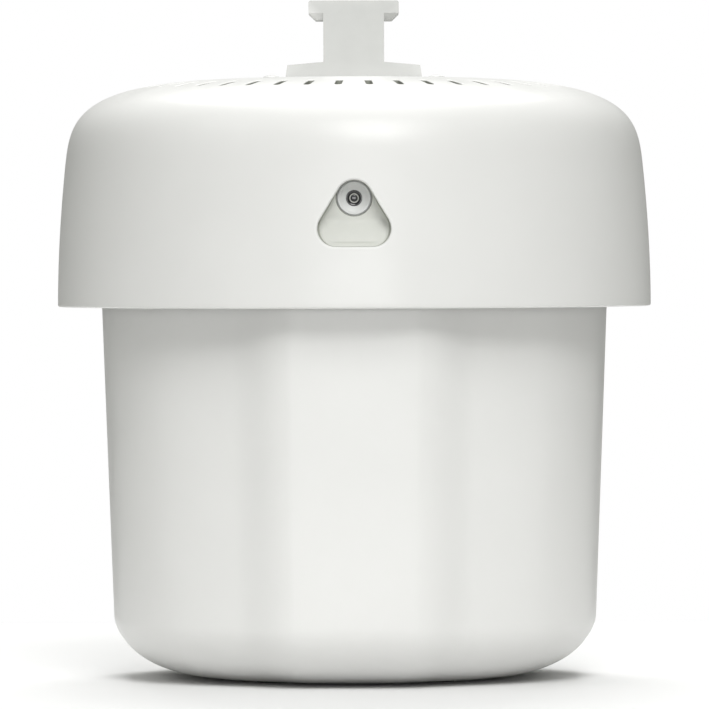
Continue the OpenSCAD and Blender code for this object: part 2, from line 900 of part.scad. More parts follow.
module races(out_r, in_r) {
    for (z = [bearing_low_z, bearing_high_z]) tube(out_r, in_r, z, bearing_w, 64);
}

ball_r = 0.65;
ball_at_r = (race_r + shaft_r) / 2;
module bearing_outer_races() {
    color(steel) races(race_r, ball_at_r + ball_r + fit_gap);
}

module bearing_inner_races() {
    color(steel) races(ball_at_r - ball_r - fit_gap, shaft_r + 0.02);
}

module bearing_balls() {
    color(steel)
        for (z = [bearing_low_z, bearing_high_z])
            ring_of(7, ball_at_r)
                translate([0, 0, z + bearing_w / 2]) sphere(r = ball_r, $fn = 24);
}

teeth = 9;
stator_z = motor_z + 9;
stator_h = 12;
module stator_core() {
    color([0.45, 0.46, 0.48])
        translate([0, 0, stator_z])
            linear_extrude(stator_h)
                difference() {
                    union() {
                        circle(r = 12, $fn = 64);
                        ring_of(teeth, 0) translate([10, -1.2]) square([9.5, 2.4]);
                        intersection() {
                            difference() {
                                circle(r = stator_r, $fn = 96);
                                circle(r = stator_r - 2, $fn = 96);
                            }
                            ring_of(teeth, 0) translate([15, -5.4]) square([8, 10.8]);
                        }
                    }
                    circle(r = tube_r + fit_gap, $fn = 64);
                }
}

module stator_coils() {
    color(copper)
        ring_of(teeth, 12.6)
            difference() {
                translate([0, -2.6, stator_z - 1.6]) cube([5.6, 5.2, stator_h + 3.2]);
                translate([-1, -1.2, stator_z]) cube([8, 2.4, stator_h]);
            }
}

module rotor_bell() {
    color(steel)
        difference() {
            union() {
                disc(bell_r, motor_z, motor_h);
            }
            disc(bell_r - bell_wall, motor_z + 1.5, motor_h);
            disc(shaft_r + 0.02, motor_z - 1, 10, 32);
        }
}

module rotor_magnets() {
    poles = 12;
    outer = bell_r - bell_wall - 0.02;
    color([0.22, 0.22, 0.24])
        for (i = [0 : poles - 1])
            rotate([0, 0, i * 360 / poles + 1])
                translate([0, 0, stator_z - 1])
                    rotate_extrude(angle = 360 / poles - 2, $fn = 96)
                        translate([outer - magnet_t, 0]) square([magnet_t, stator_h + 2]);
}

shaft_top = bracket_z + bracket_t + 2;
module motor_shaft() {
    color(steel)
        disc(shaft_r, motor_z, shaft_top - motor_z, 32);
}

module shaft_clip() {
    color(steel)
        tube(shaft_r + 2, shaft_r + 0.02, shaft_top - 1.4, 0.8, 40);
}

module impeller() {
    curve_r = 45;
    curve_at = 30;
    function sweep_at(r) = acos((r * r - curve_r * curve_r - curve_at * curve_at) / (2 * curve_r * curve_at));
    from = sweep_at(impeller_r - 0.4);
    upto = sweep_at(shroud_in_r + 1);
    color([0.20, 0.21, 0.22])
        union() {
            tube(shroud_in_r + 1.5, shroud_in_r, shroud_z - 2.5, 4, 96);
            tube(impeller_r, shroud_in_r, shroud_z, shroud_t, 120);
            tube(impeller_r, hub_r - hub_wall, back_z, back_t, 120);
            tube(hub_r, hub_r - hub_wall, hub_z, back_z + back_t - hub_z, 96);
            translate([0, 0, hub_z - 1.4])
                cylinder(r1 = hub_r - 6, r2 = hub_r, h = 3, $fn = 96);
            for (i = [0 : blade_count - 1])
                rotate([0, 0, i * 360 / blade_count])
                    translate([curve_at, 0, shroud_z + shroud_t - 0.5])
                        rotate([0, 0, from])
                            rotate_extrude(angle = upto - from, $fn = 120)
                                translate([curve_r - blade_t / 2, 0])
                                    square([blade_t, channel_h - shroud_t + 0.5 + eps]);
        }
}

// ---- control electronics ----

module control_board() {
    color(board_green)
        difference() {
            disc(control_r, control_z, control_t);
            ring_of(3, standoff_at_r, 30) disc(1.3, control_z - 1, 4, 24);
            disc(4.5, control_z - 1, 4, 32);
            translate([0, gland_y, 0]) disc(5, control_z - 1, 4, 40);
        }
}

module board_standoffs() {
    color(steel)
        ring_of(3, standoff_at_r, 30)
            difference() {
                disc(3, bracket_z + bracket_t, control_z - bracket_z - bracket_t, 6);
                disc(1.3, bracket_z, 20, 24);
            }
}

module board_screws() {
    color(steel)
        ring_of(3, standoff_at_r, 30) {
            union() {
                disc(2.5, control_z + control_t, 1.6, 32);
                disc(1.25, control_z - 3.5, control_t + 4, 24);
            }
            union() {
                disc(2.5, bracket_z - 1.6, 1.6, 32);
                disc(1.25, bracket_z - 1, bracket_t + 4, 24);
            }
        }
}

board_top = control_z + control_t;
module capacitors() {
    color([0.20, 0.22, 0.30])
        for (place = [[-18, -24, 4], [-27, -16, 4], [-6, -30, 3], [26, -22, 3]])
            translate([place[0], place[1], 0]) disc(place[2], board_top, 5.6, 40);
}

module terminal_block() {
    color([0.15, 0.42, 0.24])
        difference() {
            translate([-24, 24, board_top]) cube([15, 8, 5.6]);
            for (i = [0 : 2])
                translate([-21.5 + 5 * i, 28, 0]) disc(1.5, board_top + 2, 5, 24);
            for (i = [0 : 2])
                translate([-23 + 5 * i, 30.5, board_top + 1]) cube([3, 4, 2.6]);
        }
}

module control_chips() {
    color(dark_plastic) {
        translate([8, -34, board_top]) cube([10, 7, 1.6]);
        translate([26, 2, board_top]) cube([9, 9, 1.4]);
        translate([-38, 2, board_top]) cube([6, 5, 1.4]);
        translate([24, 18, board_top]) cube([8, 6, 4.5]);
    }
}

// ---- button and its switch ----

post_x = 6.2;
post_r = 1.2;
button_back = -floor_t - 0.2 - button_flange_t;
board_front = -floor_t - board_gap;
switch_h = 3.4;
module button_cap() {
    color(shell_white)
        at_button()
            difference() {
                union() {
                    disc(button_r, button_back, -button_sink - button_back, 96);
                    disc(button_flange_r, button_back, button_flange_t, 96);
                    disc(stem_r, button_back - 4.1, 4.1 + eps, 48);
                    for (s = [-1, 1])
                        translate([s * post_x, 0, 0])
                            disc(post_r, board_front + switch_h + 0.1, button_back - board_front - switch_h, 24);
                }
                translate([0, 0, 17.2 - button_sink - 0.9]) sphere(r = 17.2, $fn = 128);
                disc(shroud_r + 0.02, -button_sink - 2, 5, 64);
                disc(pipe_r + 0.1, button_back - 6, 10, 48);
            }
}

module indicator_shroud() {
    color(rubber_black)
        at_button()
            tube(shroud_r, bezel_r + 0.02, -button_sink - 2, 1.0, 64);
}

module indicator_bezel() {
    color(steel)
        at_button()
            tube(bezel_r, pipe_r + 0.05, -button_sink - 2, 1.15, 64);
}

module light_pipe() {
    color([0.25, 0.26, 0.27])
        at_button()
            intersection() {
                disc(pipe_r, button_back - 3.9, 3.9 - button_back - button_sink - 1.2, 48);
                translate([0, 0, -button_sink - 1.2 - 3]) sphere(r = 3, $fn = 64);
            }
}

module return_spring() {
    wire_r = 0.25;
    turns = 5;
    per_turn = 14;
    low = board_front + wire_r + 0.05;
    high = button_back - wire_r - 0.05;
    coil_r = stem_r + 0.2 + wire_r;
    color(steel)
        at_button()
            swept([
                for (i = [0 : turns * per_turn])
                    let (a = 360 * i / per_turn)
                    [coil_r * cos(a), coil_r * sin(a), low + (high - low) * i / (turns * per_turn)]
            ], wire_r, 6);
}

module button_board() {
    color(board_green)
        at_button()
            difference() {
                translate([-13, -13.5, board_front - board_t]) cube([26, 18, board_t]);
                for (s = [-1, 1])
                    translate([s * board_boss[0], board_boss[1], 0])
                        disc(1.1, board_front - 3, 5, 24);
            }
}

module tact_switches() {
    color(dark_plastic)
        at_button()
            for (s = [-1, 1])
                translate([s * post_x, 0, 0])
                    difference() {
                        translate([-1.75, -2.4, board_front]) cube([3.5, 4.8, switch_h]);
                        disc(post_r + 0.1, board_front + switch_h - button_travel - 0.3, 4, 24);
                    }
}

module status_led() {
    color([0.9, 0.9, 0.6])
        at_button() translate([-1, -1, board_front]) cube([2, 2, 0.9]);
}

module button_board_screws() {
    color(steel)
        at_button()
            for (s = [-1, 1])
                translate([s * board_boss[0], board_boss[1], 0])
                    union() {
                        disc(2, board_front - board_t - 1.2, 1.2, 32);
                        disc(0.98, board_front - board_t - eps, board_t + 5, 24);
                    }
}

// ---- internal leads ----

lead_r = 1;
motor_lead_path = [
    [-15.5, 0, stator_z + stator_h + 1.7], [-16.4, 0, stator_z + stator_h + 3], [-17, 0, bracket_z - 1],
    [-17, 0, bracket_z + 1], [-17, 0, bracket_z + 5],
    [-20, -2, control_z - 4], [-28, -6, control_z - 2.6], [-36, -10, control_z - 2],
    [-42, -12, control_z - 1.6], [-46.5, -12, control_z + 0.6], [-45.5, -11, control_z + 3.6],
    [-41, -9, control_z + 4.6], [-36, -8, control_z + 4], [-32, -7, board_top + lead_r]
];
module motor_lead() {
    color([0.75, 0.18, 0.15]) swept(motor_lead_path, lead_r);
}

module button_lead() {
    start = -floor_y - board_front + board_t + 0.1;
    z = button_z - 15.5;
    color([0.85, 0.85, 0.82])
        swept([
            [0, start, button_z - 11], [0, start + 1.2, button_z - 11], [0, start + 2.4, button_z - 12.4],
            [0, start + 3, z], [0, -duct_in_r + 6, z + 1], [0, -duct_in_r + 12, z + 12],
            [0, -duct_in_r + 22, z + 28], [2, -control_r - 5, control_z - 6],
            [4, -control_r - 3, control_z], [5, -control_r - 1.6, control_z + 3.6],
            [6, -control_r + 1.5, control_z + 5], [9, -control_r + 8.5, board_top + lead_r]
        ], lead_r);
}

lower_housing();
foot_pads();
inlet_ring();
catch_magnets();
filter_cradle();
filter_media();
filter_top_cap();
filter_bottom_cap();
filter_core_cage();
carbon_sleeve();
filter_gasket();
filter_pull_bar();
top_cover();
hanger();
hanger_plate();
hanger_bolts();
crown_screws();
gland_body();
gland_cap();
gland_bush();
gland_locknut();
fan_deck();
deck_screws();
catch_keepers();
outlet_duct();
duct_seal();
guide_vanes();
eye_guard();
motor_bracket();
bracket_screws();
bracket_grommets();
bearing_outer_races();
bearing_balls();
stator_core();
stator_coils();
control_board();
board_standoffs();
board_screws();
capacitors();
terminal_block();
control_chips();
outlet_screen();
button_board();
tact_switches();
status_led();
button_board_screws();
motor_lead();
button_lead();
impeller();
rotor_bell();
rotor_magnets();
motor_shaft();
shaft_clip();
bearing_inner_races();
button_cap();
indicator_shroud();
indicator_bezel();
light_pipe();
return_spring();
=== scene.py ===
import bmesh
import bpy
import math
import numpy as np
from mathutils import Matrix, Vector


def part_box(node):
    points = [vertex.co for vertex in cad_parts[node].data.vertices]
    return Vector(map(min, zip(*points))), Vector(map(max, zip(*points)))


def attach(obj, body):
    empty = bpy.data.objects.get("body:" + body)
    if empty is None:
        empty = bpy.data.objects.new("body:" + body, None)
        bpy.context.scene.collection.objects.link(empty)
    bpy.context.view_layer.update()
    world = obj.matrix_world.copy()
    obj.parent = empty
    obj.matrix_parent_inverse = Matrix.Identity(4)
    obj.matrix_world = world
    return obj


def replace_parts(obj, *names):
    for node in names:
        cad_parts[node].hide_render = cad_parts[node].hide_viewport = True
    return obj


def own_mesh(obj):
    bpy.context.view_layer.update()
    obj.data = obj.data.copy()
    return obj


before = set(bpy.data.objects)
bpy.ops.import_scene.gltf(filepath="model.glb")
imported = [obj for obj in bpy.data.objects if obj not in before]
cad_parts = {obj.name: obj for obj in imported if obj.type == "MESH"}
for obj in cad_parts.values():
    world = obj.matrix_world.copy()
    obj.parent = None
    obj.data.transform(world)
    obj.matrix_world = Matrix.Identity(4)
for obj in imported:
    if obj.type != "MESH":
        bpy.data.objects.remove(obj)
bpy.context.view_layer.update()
mm = 0.001
print("frame loaded:", len(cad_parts), "nodes")


def turn(degrees):
    return math.radians(degrees)


def onRing(radius, angle, z):
    # angle 0 faces the front (-Y), and grows towards +X
    return (radius * math.sin(angle), -radius * math.cos(angle), z)


def mixPoints(a, b, share):
    return tuple(p + (q - p) * share for p, q in zip(a, b))


# Points and faces of one mesh, built up loop by loop
class Shell:
    def __init__(self):
        self.points, self.faces, self.coats = [], [], []
        self.coat = 0               # which of the piece's finishes the next faces get

    def loop(self, points):
        first = len(self.points)
        self.points += [tuple(p) for p in points]
        return list(range(first, len(self.points)))

    def bridge(self, a, b, closed=True, skip=()):
        count = len(a)
        for i in range(count if closed else count - 1):
            if i not in skip:
                j = (i + 1) % count
                self.faces.append((a[i], a[j], b[j], b[i]))
                self.coats.append(self.coat)

    def chain(self, loops, closed=True):
        for a, b in zip(loops, loops[1:]):
            self.bridge(a, b, closed)

    def fan(self, loop, centre):
        tip = self.loop([centre])[0]
        for i, a in enumerate(loop):
            self.faces.append((a, loop[(i + 1) % len(loop)], tip))
            self.coats.append(self.coat)

    def make(self, name, body, materials, sharpAngle=40):
        mesh = bpy.data.meshes.new(name)
        mesh.from_pydata(self.points, [], self.faces)
        for material in materials:
            mesh.materials.append(material)
        mesh.polygons.foreach_set("material_index", self.coats)
        work = bmesh.new()
        work.from_mesh(mesh)
        bmesh.ops.delete(work, geom=[v for v in work.verts if not v.link_faces], context="VERTS")
        bmesh.ops.recalc_face_normals(work, faces=work.faces)
        work.to_mesh(mesh)
        work.free()
        mesh.shade_smooth()
        mesh.set_sharp_from_angle(angle=turn(sharpAngle))
        piece = bpy.data.objects.new(name, mesh)
        bpy.context.scene.collection.objects.link(piece)
        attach(piece, body)
        return piece


def nodeOf(tree, kind, **inputs):
    made = tree.nodes.new(kind)
    for key, value in inputs.items():
        if key in made.inputs:
            made.inputs[key].default_value = value
    return made


def noiseOf(tree, coords, size, detail=4.0, roughness=0.55, stretch=(1, 1, 1)):
    # size is the width of one blotch in metres
    place = tree.nodes.new("ShaderNodeMapping")
    place.inputs["Scale"].default_value = [s / size for s in stretch]
    tree.links.new(coords, place.inputs["Vector"])
    noise = nodeOf(tree, "ShaderNodeTexNoise", Scale=1.0, Detail=detail, Roughness=roughness)
    tree.links.new(place.outputs["Vector"], noise.inputs["Vector"])
    return noise.outputs["Fac"]


def rangeOf(tree, value, low, high, fromLow=0.3, fromHigh=0.7):
    ramp = tree.nodes.new("ShaderNodeMapRange")
    for key, number in zip(("From Min", "From Max", "To Min", "To Max"), (fromLow, fromHigh, low, high)):
        ramp.inputs[key].default_value = number
    tree.links.new(value, ramp.inputs["Value"])
    return ramp.outputs["Result"]


def blendColours(tree, share, first, second):
    blend = tree.nodes.new("ShaderNodeMix")
    blend.data_type = "RGBA"
    blend.inputs[6].default_value = (*first, 1)
    blend.inputs[7].default_value = (*second, 1)
    tree.links.new(share, blend.inputs[0])
    return blend.outputs[2]


# A moulded, cast or rubber finish: colour drifts slowly, gloss drifts with it, and a fine grain
# raises the surface
def finish(name, colour, shade=None, roughness=(0.4, 0.5), grain=0.0006, grainDepth=0.00002,
           blotch=0.03, metallic=0.0, coat=0.0, sheen=0.0, wear=None, stretch=(1, 1, 1), specular=0.5):
    material = bpy.data.materials.new(name)
    material.use_nodes = True
    tree = material.node_tree
    shader = tree.nodes["Principled BSDF"]
    coords = tree.nodes.new("ShaderNodeTexCoord").outputs["Object"]
    slow = noiseOf(tree, coords, blotch, detail=3)
    colourOut = blendColours(tree, rangeOf(tree, slow, 0, 1), colour, shade or [c * 0.94 for c in colour])
    if wear:
        edge = tree.nodes.new("ShaderNodeNewGeometry").outputs["Pointiness"]
        worn = rangeOf(tree, edge, 0, 1, 0.52, 0.62)
        last = tree.nodes.new("ShaderNodeMix")
        last.data_type = "RGBA"
        last.inputs[7].default_value = (*wear, 1)
        tree.links.new(worn, last.inputs[0])
        tree.links.new(colourOut, last.inputs[6])
        colourOut = last.outputs[2]
    tree.links.new(colourOut, shader.inputs["Base Color"])
    middle = noiseOf(tree, coords, blotch * 0.35, detail=5, stretch=stretch)
    tree.links.new(rangeOf(tree, middle, *roughness), shader.inputs["Roughness"])
    fine = noiseOf(tree, coords, grain, detail=2, stretch=stretch)
    bump = nodeOf(tree, "ShaderNodeBump", Strength=1.0, Distance=grainDepth)
    tree.links.new(fine, bump.inputs["Height"])
    tree.links.new(bump.outputs["Normal"], shader.inputs["Normal"])
    shader.inputs["Metallic"].default_value = metallic
    shader.inputs["Coat Weight"].default_value = coat
    shader.inputs["Coat Roughness"].default_value = 0.12
    shader.inputs["Sheen Weight"].default_value = sheen
    shader.inputs["Specular IOR Level"].default_value = specular
    return material


coverPlastic = finish("coverPlastic", (0.80, 0.80, 0.785), (0.78, 0.78, 0.765), roughness=(0.30, 0.38),
                      grain=0.0007, grainDepth=0.000012, blotch=0.05)
# painted shade: the pocket's inside gets a darker grey for the shade it lies in
pocketPaintedShade = finish("pocketPaintedShade", (0.66, 0.67, 0.625), (0.63, 0.64, 0.60), roughness=(0.42, 0.5),
                       grain=0.0006, grainDepth=0.000012, blotch=0.01)
# painted shade: a dark grey for the shade in the crease where the pocket's wall meets its floor
creasePaintedShade = finish("creasePaintedShade", (0.40, 0.41, 0.365), (0.37, 0.38, 0.34), roughness=(0.45, 0.55),
                       grain=0.0006, grainDepth=0.00001, blotch=0.01)
# painted shade: a dark grey for the shade inside the crown's slots and in the gap round the button
slotPaintedShade = finish("slotPaintedShade", (0.30, 0.31, 0.27), (0.26, 0.27, 0.235), roughness=(0.5, 0.6),
                     grain=0.0006, grainDepth=0.00001, blotch=0.01)
drumPlastic = finish("drumPlastic", (0.80, 0.80, 0.785), (0.78, 0.78, 0.765), roughness=(0.33, 0.41),
                     grain=0.0007, grainDepth=0.000014, blotch=0.05)
hangerPlastic = finish("hangerPlastic", (0.62, 0.625, 0.61), (0.59, 0.595, 0.58), roughness=(0.42, 0.52),
                       grain=0.0005, grainDepth=0.00002, blotch=0.012, wear=(0.80, 0.80, 0.79))
innerPlastic = finish("innerPlastic", (0.70, 0.71, 0.71), (0.64, 0.65, 0.66), roughness=(0.45, 0.6),
                      grain=0.0009, grainDepth=0.00003, blotch=0.03)
screenPlastic = finish("screenPlastic", (0.05, 0.05, 0.055), (0.035, 0.035, 0.04), roughness=(0.5, 0.65),
                       grain=0.0005, grainDepth=0.00003, blotch=0.01, wear=(0.10, 0.10, 0.10))
fanPlastic = finish("fanPlastic", (0.045, 0.048, 0.052), (0.03, 0.032, 0.036), roughness=(0.38, 0.55),
                    grain=0.0008, grainDepth=0.00003, blotch=0.015, wear=(0.11, 0.11, 0.12))
softRubber = finish("softRubber", (0.02, 0.02, 0.021), (0.03, 0.03, 0.03), roughness=(0.7, 0.88),
                    grain=0.0004, grainDepth=0.00004, blotch=0.008, sheen=0.15)
platedSteel = finish("platedSteel", (0.62, 0.63, 0.65), (0.54, 0.55, 0.58), roughness=(0.24, 0.4),
                     grain=0.0012, grainDepth=0.00001, blotch=0.006, metallic=1.0, stretch=(1, 1, 6))
bearingSteel = finish("bearingSteel", (0.72, 0.73, 0.75), (0.66, 0.67, 0.69), roughness=(0.12, 0.22),
                      grain=0.0006, grainDepth=0.000004, blotch=0.004, metallic=1.0)
castMetal = finish("castMetal", (0.16, 0.165, 0.175), (0.12, 0.125, 0.135), roughness=(0.45, 0.62),
                   grain=0.0006, grainDepth=0.00005, blotch=0.008, metallic=0.85, wear=(0.42, 0.42, 0.43))
magnetBlack = finish("magnetBlack", (0.09, 0.09, 0.10), (0.13, 0.13, 0.14), roughness=(0.3, 0.5),
                     grain=0.0005, grainDepth=0.00002, blotch=0.003, metallic=0.7)
sheetStack = finish("sheetStack", (0.34, 0.35, 0.38), (0.26, 0.27, 0.30), roughness=(0.35, 0.55),
                    grain=0.0010, grainDepth=0.00006, blotch=0.004, metallic=1.0, stretch=(0.1, 0.1, 3))
copperWire = finish("copperWire", (0.72, 0.30, 0.13), (0.55, 0.20, 0.08), roughness=(0.2, 0.34),
                    grain=0.0016, grainDepth=0.00012, blotch=0.004, metallic=1.0, stretch=(0.4, 0.4, 3))
boardMask = finish("boardMask", (0.012, 0.10, 0.045), (0.008, 0.07, 0.03), roughness=(0.22, 0.34),
                   grain=0.0025, grainDepth=0.00004, blotch=0.006, coat=0.4)
capacitorSleeve = finish("capacitorSleeve", (0.03, 0.04, 0.09), (0.02, 0.03, 0.07), roughness=(0.25, 0.4),
                         grain=0.0009, grainDepth=0.00002, blotch=0.004, coat=0.3)
terminalGreen = finish("terminalGreen", (0.02, 0.16, 0.06), (0.015, 0.12, 0.045), roughness=(0.35, 0.5),
                       grain=0.0006, grainDepth=0.00002, blotch=0.005)
redWire = finish("redWire", (0.45, 0.02, 0.015), (0.36, 0.015, 0.012), roughness=(0.4, 0.55),
                 grain=0.0008, grainDepth=0.00002, blotch=0.006)
paleWire = finish("paleWire", (0.66, 0.66, 0.62), (0.60, 0.60, 0.56), roughness=(0.4, 0.55),
                  grain=0.0008, grainDepth=0.00002, blotch=0.006)
buttonPlastic = finish("buttonPlastic", (0.70, 0.71, 0.70), (0.67, 0.68, 0.67), roughness=(0.30, 0.40),
                       grain=0.0004, grainDepth=0.000006, blotch=0.004)
glossBlack = finish("glossBlack", (0.012, 0.012, 0.014), (0.018, 0.018, 0.02), roughness=(0.10, 0.2),
                    grain=0.0006, grainDepth=0.000004, blotch=0.002, coat=0.5)
bezelMetal = finish("bezelMetal", (0.66, 0.66, 0.63), (0.58, 0.58, 0.55), roughness=(0.3, 0.42),
                    grain=0.0003, grainDepth=0.000004, blotch=0.001, metallic=0.35)
smokedLens = finish("smokedLens", (0.035, 0.036, 0.04), (0.05, 0.05, 0.055), roughness=(0.08, 0.16),
                    grain=0.0004, grainDepth=0.000003, blotch=0.001, coat=0.8)
ledLens = finish("ledLens", (0.75, 0.72, 0.40), (0.70, 0.66, 0.34), roughness=(0.15, 0.25),
                 grain=0.0005, grainDepth=0.000005, blotch=0.001, coat=0.5)


def pleatedPaper():
    # filter paper: soft fibres
    material = finish("pleatedPaper", (0.80, 0.79, 0.74), (0.70, 0.69, 0.64), roughness=(0.8, 0.95),
                      grain=0.0012, grainDepth=0.00018, blotch=0.02, sheen=0.25)
    return material


def carbonFoam():
    # open foam: dark cells between pale-edged walls
    material = finish("carbonFoam", (0.035, 0.036, 0.038), (0.055, 0.056, 0.058), roughness=(0.75, 0.95),
                      grain=0.0016, grainDepth=0.0004, blotch=0.012, sheen=0.1)
    tree = material.node_tree
    coords = tree.nodes.new("ShaderNodeTexCoord").outputs["Object"]
    cells = tree.nodes.new("ShaderNodeTexVoronoi")
    cells.inputs["Scale"].default_value = 420
    tree.links.new(coords, cells.inputs["Vector"])
    bump = nodeOf(tree, "ShaderNodeBump", Strength=1.0, Distance=0.0006)
    tree.links.new(cells.outputs["Distance"], bump.inputs["Height"])
    shader = tree.nodes["Principled BSDF"]
    before = shader.inputs["Normal"].links[0].from_socket
    tree.links.new(before, bump.inputs["Normal"])
    tree.links.new(bump.outputs["Normal"], shader.inputs["Normal"])
    return material


paper = pleatedPaper()
foam = carbonFoam()
print("finishes made:", len(bpy.data.materials))


cover = {
    "wall": 2.6 * mm,
    "shoulderHeight": 39 * mm,
    "squareness": 4.0,
    "flare": 2.5 * mm,
    "flarePower": 1.9,
    "lipRound": 0.9 * mm,       # outer edge of the brim
    "lipInner": 0.4 * mm,
    "columnsPerSlot": 12,
    "shoulderRows": 34,
    "innerShoulderRows": 20,
}
slots = {
    "count": 44,
    "outerRadius": 84.6 * mm,
    "length": 11.2 * mm,
    "width": 2.6 * mm,
    "edgeRound": 0.35 * mm,
    "bandMargin": 2.3 * mm,     # from the slots' ends to the plain crown
    "sideSteps": 10,
}
pocket = {
    "aboveBrim": 41.3 * mm,     # the button's axis
    "cornerRadius": 6.8 * mm,
    "halfWidth": 6.95 * mm,
    "rise": 11.4 * mm,
    "depth": 6.5 * mm,
    "floorThickness": 2 * mm,
    "rimRound": 0.8 * mm,
    "floorRound": 0.5 * mm,     # where wall meets floor, along the lowest edge
    "sideRound": 2.6 * mm,      # and along the two sides
    "rampTop": 3.2 * mm,        # above the lower corners
    "rampEnd": 2.3 * mm,        # the pocket's depth at its lowest edge
    "rampBlend": 1.2 * mm,
    "grooveAt": 1.4 * mm,       # above the lowest edge
    "grooveDepth": 0.35 * mm,
    "boreRadius": 6.6 * mm,
    "boreRound": 0.3 * mm,
    "rows": 24,
    "lowest": 163.2 * mm,
    "highest": 195.2 * mm,
    "columns": 12,
    "backShares": (0.25, 0.5, 0.75, 1),         # where the loops lie, from the wall to the bore
    "floorShares": (0.02, 0.04, 0.06, 0.08, 0.1, 0.13, 0.17, 0.22, 0.3, 0.4, 0.5, 0.6, 0.7, 0.8, 0.9, 1),
}

coverLow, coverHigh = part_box("top_cover")
brimZ, brimR = coverLow.z, coverHigh.x
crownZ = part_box("hanger")[0].z                     # the hanger stands on the crown
shoulderZ = crownZ - cover["shoulderHeight"]
shoulderR = brimR - cover["flare"]
shear = cover["flarePower"] * cover["flare"] / (shoulderZ - brimZ) * cover["shoulderHeight"] / shoulderR
buttonZ = brimZ + pocket["aboveBrim"]
columnCount = slots["count"] * cover["columnsPerSlot"]
columnAngles = [2 * math.pi * c / columnCount for c in range(columnCount)]


def skirtRadius(z):
    share = max((z - brimZ) / (shoulderZ - brimZ), 0)
    return brimR - cover["flare"] * share ** cover["flarePower"]


def shoulderPoint(share, inset=0.0):
    # share 0 is the top of the skirt, 1 the axis
    angle = share * math.pi / 2
    power = 2 / cover["squareness"]
    across, up = max(math.cos(angle), 0) ** power, math.sin(angle) ** power
    return (shoulderR - inset) * across * (1 - shear * up), shoulderZ + (cover["shoulderHeight"] - inset) * up


def denseShoulder(inset):
    return [shoulderPoint((i / 4000) ** 1.6, inset) for i in range(4001)]


denseOuter, denseInner = denseShoulder(0), denseShoulder(cover["wall"])


def crownHeight(radius, inset=0.0):
    line = denseInner if inset else denseOuter
    radii, heights = [p[0] for p in reversed(line)], [p[1] for p in reversed(line)]
    return float(np.interp(radius, radii, heights))


def evenly(line, count):
    # the same line with its points spread evenly along it
    steps = [0.0]
    for a, b in zip(line, line[1:]):
        steps.append(steps[-1] + math.hypot(b[0] - a[0], b[1] - a[1]))
    at = np.linspace(0, steps[-1], count)
    return list(zip(np.interp(at, steps, [p[0] for p in line]), np.interp(at, steps, [p[1] for p in line])))


slotEnd = slots["width"] / 2
slotMid = slots["outerRadius"] - slots["length"] / 2
slotReach = slots["length"] / 2 - slotEnd
bandOut = slots["outerRadius"] + slots["bandMargin"]
bandIn = slots["outerRadius"] - slots["length"] - slots["bandMargin"]


# The slot's outline in its own plane, (outward, sideways), in the order of its sector's border
def slotOutline(grow):
    end, steps, side = slotEnd + grow, cover["columnsPerSlot"], slots["sideSteps"]
    line = []
    for j in range(steps + 1):
        a = math.pi * (j / steps - 0.5)
        line.append((-slotReach - end * math.cos(a), end * math.sin(a)))
    line += [(slotReach * (2 * i / side - 1), end) for i in range(1, side)]
    for j in range(steps + 1):
        a = math.pi * (0.5 - j / steps)
        line.append((slotReach + end * math.cos(a), end * math.sin(a)))
    line += [(slotReach * (1 - 2 * i / side), -end) for i in range(1, side)]
    return line


def slotPoints(grow, angle, inset, drop=0.0):
    points = []
    for out, sideways in slotOutline(grow):
        x, y = slotMid + out, sideways
        radius = math.hypot(x, y)
        points.append(onRing(radius, angle + math.atan2(y, x), crownHeight(radius, inset) - drop))
    return points


# Fills the band between two crown loops, leaving a slot in each sector. Returns the slots' open
# loops
def slotBand(shell, outerLoop, innerLoop, inset):
    steps, side = cover["columnsPerSlot"], slots["sideSteps"]
    radii = [bandIn + (bandOut - bandIn) * i / side for i in range(1, side)]
    sides = [
        shell.loop([onRing(r, columnAngles[s * steps], crownHeight(r, inset)) for r in radii])
        for s in range(slots["count"])
    ]
    openings = []
    for s in range(slots["count"]):
        nextSide = sides[(s + 1) % slots["count"]]
        columns = [(s * steps + j) % columnCount for j in range(steps + 1)]
        border = [innerLoop[c] for c in columns] + nextSide
        border += [outerLoop[c] for c in reversed(columns)] + sides[s][::-1]
        angle = columnAngles[s * steps] + math.pi / slots["count"]
        wide = slotPoints(0.9 * mm, angle, inset)
        half = [mixPoints(shell.points[b], w, 0.5) for b, w in zip(border, wide)]
        half = [(x, y, crownHeight(math.hypot(x, y), inset)) for x, y, _ in half]
        loops = [border, shell.loop(half), shell.loop(wide)]
        if inset:
            loops.append(shell.loop(slotPoints(0, angle, inset)))
        else:
            edge = slots["edgeRound"]
            for a in (0, 30, 60, 90):
                grow, drop = edge * (1 - math.sin(turn(a))), edge * (1 - math.cos(turn(a)))
                loops.append(shell.loop(slotPoints(grow, angle, inset, drop)))
        shell.chain(loops)
        openings.append(loops[-1])
    return openings


pocketRays = []                                     # (corner or edge point, outward angle) round the outline
lean = math.atan2(pocket["halfWidth"], pocket["rise"])
corners = [
    ((0, 0), lean, math.pi - lean),
    ((-pocket["halfWidth"], -pocket["rise"]), math.pi - lean, 1.5 * math.pi),
    ((pocket["halfWidth"], -pocket["rise"]), 1.5 * math.pi, 2 * math.pi + lean),
]
for (x, z), start, end in corners:
    pocketRays += [((x, z), start + (end - start) * i / 300) for i in range(301)]
for k, (corner, _, end) in enumerate(corners):
    after = corners[(k + 1) % 3][0]
    pocketRays += [
        ((corner[0] + (after[0] - corner[0]) * i / 300, corner[1] + (after[1] - corner[1]) * i / 300), end)
        for i in range(301)
    ]


def rayPoint(ray, radius):
    (x, z), angle = ray
    return x + radius * math.cos(angle), z + radius * math.sin(angle)


def rayAngle(point):
    return math.atan2(point[1], point[0])


rayAngles = np.array([rayAngle(rayPoint(r, pocket["cornerRadius"])) for r in pocketRays])


